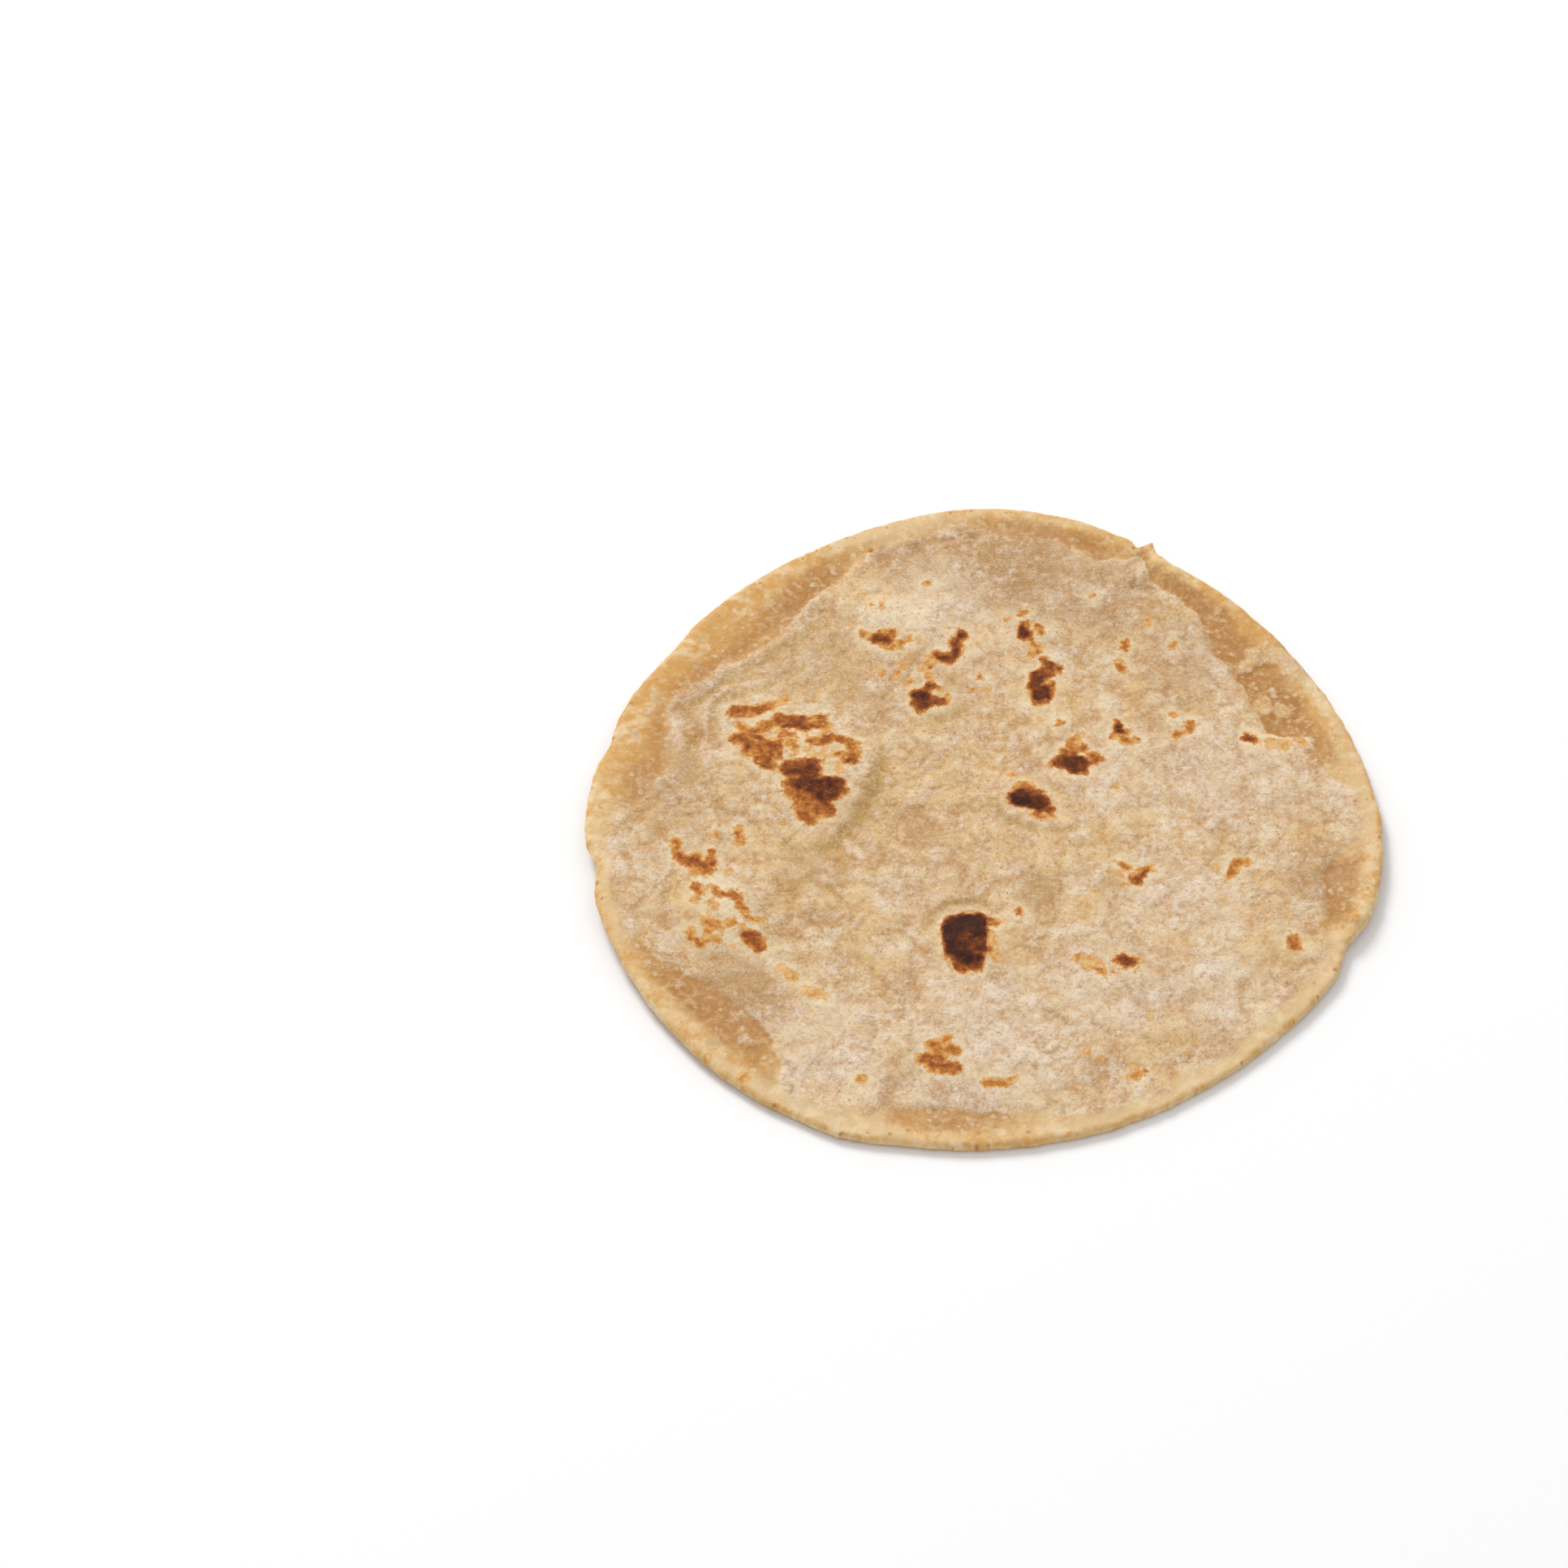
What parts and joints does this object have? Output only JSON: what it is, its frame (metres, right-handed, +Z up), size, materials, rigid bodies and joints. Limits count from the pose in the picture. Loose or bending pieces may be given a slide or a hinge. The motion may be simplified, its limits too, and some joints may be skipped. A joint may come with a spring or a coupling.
{
  "type": "chapati flatbread",
  "caption": "Thin round whole-wheat flatbread with a rounded rim, low air blisters and browned griddle spots, lying flat with part of its rim slightly lifted.",
  "frame": {"origin": "on the table, under the middle of the bread's bounding box", "axes": "+Z up, out of the better browned face; +X to the right and +Y away from a viewer who sees the torn nick of the rim at the far right"},
  "size_m": [0.1696, 0.1752, 0.0052],
  "materials": {
    "baked_dough": "dry, floury griddle-baked whole-wheat dough with dark brown toasted spots"
  },
  "bodies": {
    "root": {"chapati": "baked_dough"}
  },
  "joints": []
}
